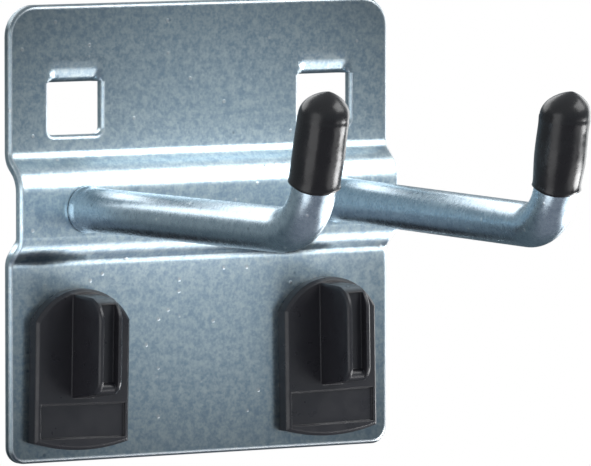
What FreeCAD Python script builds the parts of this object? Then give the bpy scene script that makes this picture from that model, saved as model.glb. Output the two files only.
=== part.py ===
import FreeCAD, Part
import math
import os
import Sketcher
from FreeCAD import Placement, Rotation, Vector

# Double hook for a square-hole tool panel: a folded steel back plate, two bent
# rods riveted through its raised band, a soft cap on each rod and two push-in
# locking clips. Millimetres, +Z up, the back face of the plate on Y = 0, the
# hooks reaching out along -Y. The origin is on that back face, midway between
# the two claws and level with the upper row of panel holes.

doc = FreeCAD.newDocument("pegboard_hook")
dims = doc.addObject("Spreadsheet::Sheet", "Dims")

# Driving sizes, in millimetres and degrees
SIZES = [
    ("grid_pitch", 38.0, "pitch of the panel's square holes"),
    ("panel_hole", 10.0, "side of a panel hole"),
    ("panel_thickness", 1.5, "panel sheet that the claws and clips go through"),
    ("side_margin", 9.85, "back plate beyond the middle of each claw"),
    ("top_above_row", 10.8, "top edge above the upper row of panel holes"),
    ("bottom_below_row", 10.45, "bottom edge under the lower row of panel holes"),
    ("sheet_thickness", 1.25, "steel sheet of the back plate"),
    ("top_corner_radius", 4.0, "upper corners of the back plate"),
    ("bottom_corner_radius", 2.2, "lower corners of the back plate"),
    ("rollover", 0.35, "broken front edge left by the punch"),
    ("band_depth", 2.85, "how far the raised band stands forward"),
    ("band_below_top", 19.65, "top edge down to the upper crease of the band"),
    ("band_rise_angle", 51.0, "upper slope of the band, from the vertical"),
    ("band_fall_angle", 47.0, "lower slope of the band, from the vertical"),
    ("band_height", 13.65, "upper crease down to the lower crease"),
    ("crease_radius", 1.5, "front radius in the upper crease"),
    ("shoulder_radius", 4.3, "front radius on the upper shoulder"),
    ("heel_radius", 2.0, "front radius on the lower shoulder"),
    ("foot_radius", 1.1, "front radius in the lower crease"),
    ("window_width", 8.1, "window that a claw was lanced from"),
    ("window_bottom", 6.1, "lower edge of the windows, under the upper row"),
    ("window_corner", 0.9, "lower corners of the windows"),
    ("claw_underside", 0.7, "underside of a claw, above the upper row"),
    ("claw_bend", 0.75, "inner radius of both bends of a claw"),
    ("claw_side_gap", 0.12, "lancing gap beside a claw"),
    ("claw_grip", 1.75, "space between plate and upturned tail"),
    ("claw_corner", 1.0, "corners of the upturned tail"),
    ("rod_diameter", 5.75, "bent round rod"),
    ("rod_below_top", 26.35, "rod axis under the plate's top edge"),
    ("rod_hole_clearance", 0.05, "all round the rod in its hole"),
    ("rod_end_chamfer", 0.5, "free end of a rod"),
    ("rivet_diameter", 7.2, "head upset behind the band"),
    ("rivet_thickness", 1.3, "head upset behind the band"),
    ("rivet_seat_gap", 0.4, "room for the rounded shoulder and a rod's slight tilt"),
    ("left_reach", 53.0, "band front to the corner of the left rod's axis"),
    ("right_reach", 52.5, "band front to the corner of the right rod's axis"),
    ("left_bend_radius", 7.5, "centre line of the left rod's bend"),
    ("right_bend_radius", 6.5, "centre line of the right rod's bend"),
    ("left_lean", 14.2, "left upturned end, outward from square"),
    ("right_lean", 11.0, "right upturned end, outward from square"),
    ("left_cap_height", 6.0, "corner of the left rod's axis up to its cap"),
    ("right_cap_height", 5.0, "corner of the right rod's axis up to its cap"),
    ("left_toe", 0.4, "left rod turned inward"),
    ("right_toe", 1.0, "right rod turned inward"),
    ("left_droop", -0.2, "left rod turned down"),
    ("right_droop", 0.7, "right rod turned down"),
    ("cap_length", 12.7, "soft end cap"),
    ("cap_dome", 3.1, "height of the cap's domed end"),
    ("cap_belly", 6.6, "largest diameter of a cap"),
    ("cap_belly_level", 5.8, "mouth up to the largest diameter"),
    ("cap_shoulder", 6.4, "diameter where the dome starts"),
    ("left_cap_mouth", 6.55, "outer diameter at the left cap's mouth"),
    ("right_cap_mouth", 6.15, "outer diameter at the right cap's mouth"),
    ("cap_clearance", 0.03, "all round the rod in its cap"),
    ("cap_end_wall", 3.4, "cap material beyond the rod's end"),
    ("clip_width", 14.05, "base of a locking clip"),
    ("clip_thickness", 2.0, "base of a locking clip"),
    ("clip_top_gap", 3.45, "top of a clip's arch, under the lower crease of the band"),
    ("arch_rise", 4.15, "top of the arch, above the straight sides"),
    ("clip_foot", 7.85, "straight sides, under the lower row"),
    ("clip_lowest", 8.85, "lowest point, under the lower row"),
    ("clip_edge", 0.4, "broken front edge of the base"),
    ("grip_width", 3.5, "finger grip, left to right"),
    ("grip_depth", 6.85, "finger grip, out from the base"),
    ("grip_below_apex", 0.65, "finger grip, under the top of the arch"),
    ("grip_bottom", 2.2, "finger grip, under the lower row"),
    ("grip_top_fall", 0.3, "top of the grip, lower at its front"),
    ("grip_bottom_rise", 1.2, "bottom of the grip, higher at its front"),
    ("grip_top_corner", 3.0, "upper front corner of the grip"),
    ("grip_bottom_corner", 1.9, "lower front corner of the grip"),
    ("grip_edge", 0.25, "broken long edges of the grip"),
    ("slot_width", 2.2, "slot in the front of the grip"),
    ("slot_wall_above", 1.0, "grip left above the slot"),
    ("slot_sill", 2.5, "grip left under the slot"),
    ("slot_depth", 1.3, "slot, into the front of the grip"),
    ("slot_lip", 0.7, "rounded lower lip of the slot"),
    ("label_margin", 0.725, "base left on each side of the shallow bare recess"),
    ("label_top_gap", 0.65, "base left between grip and recess"),
    ("label_foot_gap", 0.6, "base left under the recess, at its corners"),
    ("label_depth", 0.35, "recess, into the base"),
    ("plug_play", 0.25, "all round the plug in a panel hole"),
    ("plug_hole_clearance", 0.2, "all round the plug in the plate"),
    ("plug_corner", 0.5, "long corners of the plug"),
    ("plug_tail", 2.8, "plug beyond the panel"),
    ("leg_gap", 4.4, "space between the plug's two springy legs"),
    ("leg_root", 1.0, "solid part of the plug before the legs"),
    ("barb_height", 0.6, "barb on the outside of a leg"),
    ("barb_width", 6.0, "barb, top to bottom"),
    ("barb_play", 0.1, "room between panel and barb"),
    ("left_clip_turn", 1.0, "left clip turned clockwise in its hole"),
    ("right_clip_turn", -0.9, "right clip turned clockwise in its hole"),
]

# Places worked out from the driving sizes
PLACES = [
    ("back_face", "=0"),
    ("half_pitch", "=grid_pitch / 2"),
    ("plate_width", "=grid_pitch + 2 * side_margin"),
    ("half_width", "=plate_width / 2"),
    ("plate_top", "=top_above_row"),
    ("plate_bottom", "=-grid_pitch - bottom_below_row"),
    ("front_face", "=-sheet_thickness"),
    ("band_front", "=-sheet_thickness - band_depth"),
    ("band_back", "=-band_depth"),
    ("band_start", "=plate_top - band_below_top"),
    ("band_end", "=band_start - band_height"),
    ("band_shoulder", "=band_start - band_depth / tan(band_rise_angle)"),
    ("band_heel", "=band_end + band_depth / tan(band_fall_angle)"),
    ("rise_shift", "=sheet_thickness * tan(band_rise_angle / 2)"),
    ("fall_shift", "=sheet_thickness * tan(band_fall_angle / 2)"),
    ("band_start_back", "=band_start - rise_shift"),
    ("band_shoulder_back", "=band_shoulder - rise_shift"),
    ("band_heel_back", "=band_heel + fall_shift"),
    ("band_end_back", "=band_end + fall_shift"),
    ("crease_back_radius", "=crease_radius + sheet_thickness"),
    ("shoulder_back_radius", "=shoulder_radius - sheet_thickness"),
    ("heel_back_radius", "=heel_radius - sheet_thickness"),
    ("foot_back_radius", "=foot_radius + sheet_thickness"),
    ("claw_outer_bend", "=claw_bend + sheet_thickness"),
    ("claw_shank_top", "=claw_underside + sheet_thickness"),
    ("claw_bend_start", "=claw_underside + claw_outer_bend"),
    ("window_top", "=claw_bend_start + claw_side_gap"),
    ("window_floor", "=-window_bottom"),
    ("claw_width", "=window_width - 2 * claw_side_gap"),
    ("claw_root", "=window_top + sheet_thickness"),
    ("tail_front", "=claw_grip"),
    ("tail_back", "=claw_grip + sheet_thickness"),
    ("claw_bend_length", "=(claw_bend + sheet_thickness / 2) * pi / 2"),
    ("claw_flat_length", "=claw_bend_start + window_bottom"),
    ("claw_run", "=claw_grip - 2 * claw_bend"),
    ("tail_top", "=claw_bend_start + claw_flat_length - 2 * claw_bend_length - claw_run"),
    ("window_left_out", "=-half_pitch - window_width / 2"),
    ("window_left_in", "=-half_pitch + window_width / 2"),
    ("window_right_in", "=half_pitch - window_width / 2"),
    ("window_right_out", "=half_pitch + window_width / 2"),
    ("plug_width", "=panel_hole - 2 * plug_play"),
    ("plug_hole", "=plug_width + 2 * plug_hole_clearance"),
    ("hole_left_out", "=-half_pitch - plug_hole / 2"),
    ("hole_left_in", "=-half_pitch + plug_hole / 2"),
    ("hole_right_in", "=half_pitch - plug_hole / 2"),
    ("hole_right_out", "=half_pitch + plug_hole / 2"),
    ("hole_top", "=-grid_pitch + plug_hole / 2"),
    ("hole_floor", "=-grid_pitch - plug_hole / 2"),
    ("plug_hole_corner", "=plug_corner + plug_hole_clearance"),
    ("left_side", "=-half_pitch"),
    ("rod_level", "=plate_top - rod_below_top"),
    ("rod_hole_radius", "=rod_diameter / 2 + rod_hole_clearance"),
    ("rod_radius", "=rod_diameter / 2"),
    ("rivet_radius", "=rivet_diameter / 2"),
    ("rivet_seat", "=sheet_thickness + rivet_seat_gap"),
    ("rod_back_end", "=rivet_seat + rivet_thickness"),
    ("rivet_edge", "=rivet_thickness / 3"),
    ("cap_bore_radius", "=rod_radius + cap_clearance"),
    ("cap_bore_depth", "=cap_length - cap_end_wall"),
    ("rod_in_cap", "=cap_bore_depth - 5 * cap_clearance"),
    ("cap_dome_start", "=cap_length - cap_dome"),
    ("cap_dome_radius", "=(cap_shoulder ^ 2 / 4 + cap_dome ^ 2) / (2 * cap_dome)"),
    ("cap_belly_radius", "=cap_belly / 2"),
    ("cap_shoulder_radius", "=cap_shoulder / 2"),
    ("left_mouth_radius", "=left_cap_mouth / 2"),
    ("right_mouth_radius", "=right_cap_mouth / 2"),
    ("clip_right", "=clip_width / 2"),
    ("clip_left", "=-clip_right"),
    ("clip_foot_level", "=-clip_foot"),
    ("clip_apex", "=grid_pitch + band_end - clip_top_gap"),
    ("clip_shoulder", "=clip_apex - arch_rise"),
    ("arch_radius", "=(clip_right ^ 2 + arch_rise ^ 2) / (2 * arch_rise)"),
    ("foot_drop", "=clip_lowest - clip_foot"),
    ("foot_arc_radius", "=(clip_right ^ 2 + foot_drop ^ 2) / (2 * foot_drop)"),
    ("grip_top", "=clip_apex - grip_below_apex"),
    ("grip_front", "=-clip_thickness - grip_depth"),
    ("grip_root", "=-clip_thickness / 2"),
    ("grip_floor", "=-grip_bottom"),
    ("grip_front_top", "=grip_top - grip_top_fall"),
    ("grip_front_floor", "=grip_floor + grip_bottom_rise"),
    ("slot_top", "=grip_top - slot_wall_above"),
    ("slot_right", "=slot_width / 2"),
    ("slot_left", "=-slot_right"),
    ("slot_start", "=clip_thickness + grip_depth"),
    ("slot_low", "=grip_floor + slot_sill"),
    ("label_right", "=clip_right - label_margin"),
    ("label_left", "=-label_right"),
    ("label_high", "=grip_floor - label_top_gap"),
    ("label_low", "=clip_foot_level + label_foot_gap"),
    ("plug_half", "=plug_width / 2"),
    ("plug_minus_half", "=-plug_half"),
    ("plug_length", "=sheet_thickness + panel_thickness + plug_tail"),
    ("leg_right", "=leg_gap / 2"),
    ("leg_left", "=-leg_right"),
    ("leg_depth", "=plug_length - leg_root"),
    ("barb_start", "=sheet_thickness + panel_thickness + barb_play"),
    ("barb_tip", "=plug_half + barb_height"),
    ("barb_root", "=plug_half - barb_height"),
]


def fill_sheet():
    """Write every size and place into the spreadsheet under its own name."""
    row = 1
    for name, value, note in SIZES:
        dims.set("A%d" % row, name)
        dims.set("B%d" % row, str(value))
        dims.set("C%d" % row, note)
        dims.setAlias("B%d" % row, name)
        row += 1
    for name, formula in PLACES:
        dims.set("A%d" % row, name)
        dims.set("B%d" % row, formula)
        dims.setAlias("B%d" % row, name)
        row += 1
    doc.recompute()


def size(name):
    """The number that the spreadsheet holds under a name."""
    return float(dims.get(name))


def new_body(label):
    body = doc.addObject("PartDesign::Body", label)
    body.Label = label
    return body


def new_sketch(body, name, role, offset=None, sign=1):
    """A sketch on one of the body's own planes, moved along its normal by a named size."""
    sketch = body.newObject("Sketcher::SketchObject", name)
    plane = [item for item in body.Origin.OriginFeatures if item.Role == role][0]
    sketch.AttachmentSupport = [(plane, "")]
    sketch.MapMode = "FlatFace"
    if offset:
        text = "Dims.%s * %d" % (offset, sign)
        sketch.setExpression("AttachmentOffset.Base.z", text)
    return sketch


def pin(sketch, geometry, position, x_name, y_name):
    """Hold one point of a sketch at two named places."""
    for kind, name in (("DistanceX", x_name), ("DistanceY", y_name)):
        rule = Sketcher.Constraint(kind, -1, 1, geometry, position, size(name))
        index = sketch.addConstraint(rule)
        label = "at_%d" % index
        sketch.renameConstraint(index, label)
        sketch.setExpression("Constraints." + label, "Dims." + name)


def bind(sketch, rule, name, unit=""):
    """Add a dimension whose value follows a named size."""
    index = sketch.addConstraint(rule)
    label = "dim_%d" % index
    sketch.renameConstraint(index, label)
    sketch.setExpression("Constraints." + label, "Dims." + name + unit)


def draw_polygon(sketch, corners):
    """A closed outline of straight lines through named places."""
    points = [Vector(size(x), size(y), 0) for x, y in corners]
    first = sketch.GeometryCount
    count = len(points)
    for i in range(count):
        sketch.addGeometry(Part.LineSegment(points[i], points[(i + 1) % count]))
    for i in range(count):
        after = first + (i + 1) % count
        sketch.addConstraint(Sketcher.Constraint("Coincident", first + i, 2, after, 1))
        pin(sketch, first + i, 1, *corners[i])


def draw_rectangle(sketch, left, right, low, high):
    draw_polygon(sketch, [(left, low), (right, low), (right, high), (left, high)])


def draw_circle(sketch, x_name, y_name, radius_name):
    centre = Vector(size(x_name), size(y_name), 0)
    circle = Part.Circle(centre, ALONG_Z, size(radius_name))
    index = sketch.addGeometry(circle)
    pin(sketch, index, 3, x_name, y_name)
    bind(sketch, Sketcher.Constraint("Radius", index, size(radius_name)), radius_name)


def pad(body, name, sketch, length, symmetric=False, backwards=False):
    feature = body.newObject("PartDesign::Pad", name)
    feature.Profile = sketch
    feature.setExpression("Length", "Dims." + length)
    feature.Midplane = symmetric
    feature.Reversed = backwards
    return finish_feature(body, feature, 1)


def pocket(body, name, sketch, depth=None, backwards=False):
    """A cut to a named depth, or right through both ways where none is given."""
    feature = body.newObject("PartDesign::Pocket", name)
    feature.Profile = sketch
    if depth:
        feature.setExpression("Length", "Dims." + depth)
        feature.Reversed = backwards
    else:
        feature.Type = "ThroughAll"
        feature.Midplane = True
    return finish_feature(body, feature, -1)


def mirror(body, name, originals):
    feature = body.newObject("PartDesign::Mirrored", name)
    feature.Originals = originals
    plane = [item for item in body.Origin.OriginFeatures if item.Role == "YZ_Plane"][0]
    feature.MirrorPlane = (plane, [""])
    return finish_feature(body, feature, 1)


def finish_feature(body, feature, direction):
    """Make the feature the body's tip and check that it added or removed material."""
    before = 0.0
    if feature.BaseFeature:
        before = feature.BaseFeature.Shape.Volume
    body.Tip = feature
    doc.recompute()
    change = feature.Shape.Volume - before
    if change * direction <= 0:
        raise RuntimeError(feature.Name + " changed nothing")
    return feature


def edges_where(shape, test):
    return ["Edge%d" % (i + 1) for i, edge in enumerate(shape.Edges) if test(edge)]


def runs_along(edge, axis):
    """True for a straight edge parallel to an axis."""
    if not isinstance(edge.Curve, Part.Line):
        return False
    return abs(abs(edge.Curve.Direction.dot(axis)) - 1) < 1e-6


def edges_at(shape, axis, **place):
    """Straight edges along an axis whose middle lies at the given coordinates."""
    near = 0.01

    def test(edge):
        middle = edge.CenterOfMass
        return runs_along(edge, axis) and all(
            abs(abs(getattr(middle, key)) - abs(value)) < near and
            (key == "x" or getattr(middle, key) * value >= -near)
            for key, value in place.items())
    return edges_where(shape, test)


def round_edges(body, name, edges, radius):
    feature = body.newObject("PartDesign::Fillet", name)
    feature.Base = (feature.BaseFeature, edges)
    feature.setExpression("Radius", "Dims." + radius)
    body.Tip = feature
    doc.recompute()


def chamfer_edges(body, name, edges, width):
    feature = body.newObject("PartDesign::Chamfer", name)
    feature.Base = (feature.BaseFeature, edges)
    feature.setExpression("Size", "Dims." + width)
    finish_feature(body, feature, -1)


ALONG_X = Vector(1, 0, 0)
ALONG_Y = Vector(0, 1, 0)
ALONG_Z = Vector(0, 0, 1)


def make_back_plate():
    """One folded sheet: raised band, lanced claws, square plug holes, rod holes."""
    body = new_body("back_plate")
    section = new_sketch(body, "plate_section", "YZ_Plane")
    draw_polygon(section, [
        ("front_face", "plate_top"), ("front_face", "band_start"),
        ("band_front", "band_shoulder"), ("band_front", "band_heel"),
        ("front_face", "band_end"), ("front_face", "plate_bottom"),
        ("back_face", "plate_bottom"), ("back_face", "band_end_back"),
        ("band_back", "band_heel_back"), ("band_back", "band_shoulder_back"),
        ("back_face", "band_start_back"), ("back_face", "plate_top")])
    pad(body, "folded_sheet", section, "plate_width", symmetric=True)

    bends = [
        ("crease_front", "front_face", "band_start", "crease_radius"),
        ("crease_back", "back_face", "band_start_back", "crease_back_radius"),
        ("shoulder_front", "band_front", "band_shoulder", "shoulder_radius"),
        ("shoulder_back", "band_back", "band_shoulder_back", "shoulder_back_radius"),
        ("heel_front", "band_front", "band_heel", "heel_radius"),
        ("heel_back", "band_back", "band_heel_back", "heel_back_radius"),
        ("foot_front", "front_face", "band_end", "foot_radius"),
        ("foot_back", "back_face", "band_end_back", "foot_back_radius"),
    ]
    for name, y_name, z_name, radius in bends:
        edges = edges_at(body.Tip.Shape, ALONG_X, y=size(y_name), z=size(z_name))
        round_edges(body, name, edges, radius)

    for level, radius in (("plate_top", "top_corner_radius"),
                          ("plate_bottom", "bottom_corner_radius")):
        corners = edges_at(body.Tip.Shape, ALONG_Y, x=size("half_width"), z=size(level))
        round_edges(body, level + "_corners", corners, radius)

    windows = new_sketch(body, "window_outlines", "XZ_Plane")
    draw_rectangle(windows, "window_left_out", "window_left_in", "window_floor", "window_top")
    draw_rectangle(windows, "window_right_in", "window_right_out", "window_floor", "window_top")
    pocket(body, "windows", windows)
    lower = []
    for x_name in ("window_right_in", "window_right_out"):
        lower += edges_at(body.Tip.Shape, ALONG_Y, x=size(x_name), z=size("window_floor"))
    round_edges(body, "window_corners", lower, "window_corner")

    holes = new_sketch(body, "plug_hole_outlines", "XZ_Plane")
    draw_rectangle(holes, "hole_left_out", "hole_left_in", "hole_floor", "hole_top")
    draw_rectangle(holes, "hole_right_in", "hole_right_out", "hole_floor", "hole_top")
    pocket(body, "plug_holes", holes)
    inside = []
    for x_name in ("hole_right_in", "hole_right_out"):
        for z_name in ("hole_floor", "hole_top"):
            inside += edges_at(body.Tip.Shape, ALONG_Y, x=size(x_name), z=size(z_name))
    round_edges(body, "plug_hole_corners", inside, "plug_hole_corner")

    rounds = new_sketch(body, "rod_hole_outlines", "XZ_Plane")
    draw_circle(rounds, "left_side", "rod_level", "rod_hole_radius")
    draw_circle(rounds, "half_pitch", "rod_level", "rod_hole_radius")
    pocket(body, "rod_holes", rounds)

    seeds = edges_at(body.Tip.Shape, ALONG_X, y=size("front_face"), z=size("plate_top"))
    seeds += edges_at(body.Tip.Shape, ALONG_X, y=size("front_face"), z=size("window_floor"))
    chamfer_edges(body, "rolled_edges", seeds, "rollover")

    claw = new_sketch(body, "claw_section", "YZ_Plane", "half_pitch")
    draw_polygon(claw, [
        ("front_face", "claw_root"), ("front_face", "claw_underside"),
        ("tail_back", "claw_underside"), ("tail_back", "tail_top"),
        ("tail_front", "tail_top"), ("tail_front", "claw_shank_top"),
        ("back_face", "claw_shank_top"), ("back_face", "claw_root")])
    right_claw = pad(body, "right_claw", claw, "claw_width", symmetric=True)
    mirror(body, "left_claw", [right_claw])
    claw_bends = [
        ("claw_front_bend", "front_face", "claw_underside", "claw_outer_bend"),
        ("claw_tail_bend", "tail_back", "claw_underside", "claw_outer_bend"),
        ("claw_front_inside", "back_face", "claw_shank_top", "claw_bend"),
        ("claw_tail_inside", "tail_front", "claw_shank_top", "claw_bend"),
    ]
    for name, y_name, z_name, radius in claw_bends:
        edges = edges_at(body.Tip.Shape, ALONG_X, y=size(y_name), z=size(z_name))
        round_edges(body, name, edges, radius)
    tips = []
    for side in (-1, 1):
        x = size("half_pitch") + side * size("claw_width") / 2
        tips += edges_at(body.Tip.Shape, ALONG_Y, x=x, z=size("tail_top"))
    round_edges(body, "tail_corners", tips, "claw_corner")
    return body


def rod_corner(side):
    """Where the two straight stretches of a rod's axis would meet, and the bend's reach."""
    turn = math.radians(90 - size(side + "_lean"))
    tangent = size(side + "_bend_radius") * math.tan(turn / 2)
    return size(side + "_reach"), turn, tangent


def rod_placement(side):
    """A rod sits in its hole, turned a little inward and down as assembled."""
    direction = -1 if side == "left" else 1
    origin = Vector(direction * size("half_pitch"), size("band_front"), size("rod_level"))
    toe = Rotation(ALONG_Z, -direction * size(side + "_toe"))
    droop = Rotation(ALONG_X, size(side + "_droop"))
    return Placement(origin, toe.multiply(droop))


def make_rod(side):
    """Round rod with an upset head behind the band and an upturned end."""
    body = new_body("hook_rod_" + side)
    bend_radius = side + "_bend_radius"
    reach, turn, tangent = rod_corner(side)
    up = size(side + "_cap_height") + size("rod_in_cap") - tangent
    bend_start = -(reach - tangent)
    centre = Vector(bend_start, size(bend_radius), 0)
    out = Vector(-math.cos(turn), math.sin(turn), 0)
    bend_end = Vector(-reach, 0, 0) + out * tangent
    tip = bend_end + out * up

    path = new_sketch(body, side + "_rod_path", "YZ_Plane")
    start = Vector(size("rod_back_end"), 0, 0)
    path.addGeometry(Part.LineSegment(start, Vector(bend_start, 0, 0)))
    bend = Part.Circle(centre, ALONG_Z, size(bend_radius))
    low, high = 1.5 * math.pi - turn, 1.5 * math.pi
    path.addGeometry(Part.ArcOfCircle(bend, low, high))
    path.addGeometry(Part.LineSegment(bend_end, tip))
    path.addConstraint(Sketcher.Constraint("Tangent", 0, 2, 1, 2))
    path.addConstraint(Sketcher.Constraint("Tangent", 1, 1, 2, 1))
    pin(path, 0, 1, "rod_back_end", "back_face")
    path.addConstraint(Sketcher.Constraint("Horizontal", 0))
    bind(path, Sketcher.Constraint("Radius", 1, size(bend_radius)), bend_radius)

    ring = new_sketch(body, side + "_rod_section", "XZ_Plane", "rod_back_end", -1)
    draw_circle(ring, "back_face", "back_face", "rod_radius")
    rod = body.newObject("PartDesign::AdditivePipe", side + "_bent_rod")
    rod.Profile = ring
    rod.Spine = (path, ["Edge1", "Edge2", "Edge3"])
    finish_feature(body, rod, 1)

    disc = new_sketch(body, side + "_rivet_outline", "XZ_Plane", "rivet_seat", -1)
    draw_circle(disc, "back_face", "back_face", "rivet_radius")
    pad(body, side + "_rivet_head", disc, "rivet_thickness", backwards=True)
    rim = edges_where(body.Tip.Shape, lambda edge: isinstance(edge.Curve, Part.Circle) and
                      abs(edge.Curve.Radius - size("rivet_radius")) < 0.01 and
                      abs(edge.CenterOfMass.y - size("rod_back_end")) < 0.01)
    chamfer_edges(body, side + "_rivet_edge", rim, "rivet_edge")

    end = edges_where(body.Tip.Shape, lambda edge: isinstance(edge.Curve, Part.Circle) and
                      (edge.CenterOfMass - Vector(0, tip.x, tip.y)).Length < 0.01)
    chamfer_edges(body, side + "_rod_chamfer", end, "rod_end_chamfer")

    body.Placement = rod_placement(side)
    return body


def make_cap(side):
    """Dip-moulded soft cap: a thin sleeve with a domed end, a little barrel-shaped."""
    body = new_body("end_cap_" + side)
    profile = new_sketch(body, side + "_cap_profile", "XZ_Plane")
    mouth = side + "_mouth_radius"
    rim_in = Vector(size("cap_bore_radius"), 0, 0)
    rim_out = Vector(size(mouth), 0, 0)
    belly = Vector(size("cap_belly_radius"), size("cap_belly_level"), 0)
    shoulder = Vector(size("cap_shoulder_radius"), size("cap_dome_start"), 0)
    apex = Vector(0, size("cap_length"), 0)
    dome = Part.Circle(Vector(0, apex.y - size("cap_dome_radius"), 0), ALONG_Z,
                       size("cap_dome_radius"))
    dome_edge = math.asin((shoulder.y - dome.Center.y) / dome.Radius)
    inside_top = Vector(0, size("cap_bore_depth"), 0)
    inside = Vector(size("cap_bore_radius"), size("cap_bore_depth"), 0)
    profile.addGeometry(Part.LineSegment(rim_in, rim_out))
    profile.addGeometry(Part.Arc(rim_out, belly, shoulder))
    profile.addGeometry(Part.ArcOfCircle(dome, dome_edge, math.pi / 2))
    profile.addGeometry(Part.LineSegment(apex, inside_top))
    profile.addGeometry(Part.LineSegment(inside_top, inside))
    profile.addGeometry(Part.LineSegment(inside, rim_in))
    pin(profile, 0, 1, "cap_bore_radius", "back_face")
    pin(profile, 0, 2, mouth, "back_face")
    pin(profile, 3, 1, "back_face", "cap_length")
    pin(profile, 4, 1, "back_face", "cap_bore_depth")
    pin(profile, 5, 1, "cap_bore_radius", "cap_bore_depth")
    pin(profile, 1, 2, "cap_shoulder_radius", "cap_dome_start")
    widest = profile.addGeometry(Part.Point(belly), True)
    pin(profile, widest, 1, "cap_belly_radius", "cap_belly_level")
    for first, first_end, second, second_end in ((0, 2, 1, 1), (1, 2, 2, 1), (2, 2, 3, 1)):
        joint = Sketcher.Constraint("Coincident", first, first_end, second, second_end)
        profile.addConstraint(joint)
    profile.addConstraint(Sketcher.Constraint("PointOnObject", widest, 1, 1))
    profile.addConstraint(Sketcher.Constraint("PointOnObject", 2, 3, -2))
    turned = body.newObject("PartDesign::Revolution", side + "_cap_shell")
    turned.Profile = profile
    turned.ReferenceAxis = (profile, ["V_Axis"])
    turned.Angle = 360
    finish_feature(body, turned, 1)

    reach, turn, tangent = rod_corner(side)
    out = Vector(0, -math.cos(turn), math.sin(turn))
    seat = Vector(0, -reach, 0) + out * size(side + "_cap_height")
    tilt = Rotation(ALONG_X, 90 - math.degrees(turn))
    body.Placement = rod_placement(side).multiply(Placement(seat, tilt))
    return body


def make_clip(side):
    """Moulded locking clip: arched base, slotted finger grip, bare label recess, snap plug."""
    body = new_body("locking_clip_" + side)
    base = new_sketch(body, side + "_base_outline", "XZ_Plane")
    left, right = size("clip_left"), size("clip_right")
    high, low = size("clip_shoulder"), size("clip_foot_level")
    base.addGeometry(Part.LineSegment(Vector(left, low, 0), Vector(left, high, 0)))
    apex = Vector(0, size("clip_apex"), 0)
    base.addGeometry(Part.Arc(Vector(left, high, 0), apex, Vector(right, high, 0)))
    base.addGeometry(Part.LineSegment(Vector(right, high, 0), Vector(right, low, 0)))
    lowest = Vector(0, -size("clip_lowest"), 0)
    base.addGeometry(Part.Arc(Vector(left, low, 0), lowest, Vector(right, low, 0)))
    pin(base, 0, 1, "clip_left", "clip_foot_level")
    pin(base, 0, 2, "clip_left", "clip_shoulder")
    pin(base, 2, 1, "clip_right", "clip_shoulder")
    pin(base, 2, 2, "clip_right", "clip_foot_level")
    join_arc(base, 1, (0, 2), (2, 1), "arch_radius")
    join_arc(base, 3, (0, 1), (2, 2), "foot_arc_radius")
    pad(body, side + "_base", base, "clip_thickness")

    outline = new_sketch(body, side + "_grip_outline", "YZ_Plane")
    draw_polygon(outline, [
        ("grip_root", "grip_floor"), ("grip_front", "grip_front_floor"),
        ("grip_front", "grip_front_top"), ("grip_root", "grip_top")])
    pad(body, side + "_grip", outline, "grip_width", symmetric=True)
    for level, radius in (("grip_front_top", "grip_top_corner"),
                          ("grip_front_floor", "grip_bottom_corner")):
        edges = edges_at(body.Tip.Shape, ALONG_X, y=size("grip_front"), z=size(level))
        round_edges(body, side + "_" + radius, edges, radius)
    long_edges = edges_at(body.Tip.Shape, ALONG_Z, x=size("grip_width") / 2,
                          y=size("grip_front"))
    chamfer_edges(body, side + "_grip_edges", long_edges, "grip_edge")

    slot = new_sketch(body, side + "_slot_outline", "XZ_Plane", "slot_start")
    draw_rectangle(slot, "slot_left", "slot_right", "slot_low", "slot_top")
    pocket(body, side + "_slot", slot, "slot_depth")
    lip = edges_where(body.Tip.Shape, lambda edge: runs_along(edge, ALONG_X) and
                      abs(edge.CenterOfMass.z - size("slot_low")) < 0.01 and
                      edge.CenterOfMass.y < size("grip_front") + size("slot_depth") / 2)
    round_edges(body, side + "_slot_lip", lip, "slot_lip")

    label = new_sketch(body, side + "_label_outline", "XZ_Plane", "clip_thickness")
    draw_rectangle(label, "label_left", "label_right", "label_low", "label_high")
    pocket(body, side + "_label_recess", label, "label_depth")

    rim = edges_at(body.Tip.Shape, ALONG_Z, x=size("clip_right"), y=-size("clip_thickness"))
    rim += edges_where(body.Tip.Shape, lambda edge: isinstance(edge.Curve, Part.Circle) and
                       edge.Length > size("clip_width") and
                       abs(edge.CenterOfMass.y + size("clip_thickness")) < 0.01)
    chamfer_edges(body, side + "_base_edge", rim, "clip_edge")

    plug = new_sketch(body, side + "_plug_outline", "XZ_Plane")
    draw_rectangle(plug, "plug_minus_half", "plug_half", "plug_minus_half", "plug_half")
    pad(body, side + "_plug", plug, "plug_length", backwards=True)
    corners = edges_where(body.Tip.Shape, lambda edge: runs_along(edge, ALONG_Y) and
                          edge.CenterOfMass.y > 0 and
                          abs(abs(edge.CenterOfMass.x) - size("plug_half")) < 0.01)
    round_edges(body, side + "_plug_corners", corners, "plug_corner")

    barb = new_sketch(body, side + "_barb_section", "XY_Plane")
    draw_polygon(barb, [("barb_root", "barb_start"), ("barb_tip", "barb_start"),
                        ("plug_half", "plug_length"), ("barb_root", "plug_length")])
    right_barb = pad(body, side + "_outer_barb", barb, "barb_width", symmetric=True)
    mirror(body, side + "_inner_barb", [right_barb])

    legs = new_sketch(body, side + "_leg_gap", "XZ_Plane", "plug_length", -1)
    draw_rectangle(legs, "leg_left", "leg_right", "plug_minus_half", "plug_half")
    pocket(body, side + "_legs", legs, "leg_depth", backwards=True)

    direction = -1 if side == "left" else 1
    place = Vector(direction * size("half_pitch"), size("front_face"), -size("grid_pitch"))
    body.Placement = Placement(place, Rotation(ALONG_Y, size(side + "_clip_turn")))
    return body


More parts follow.
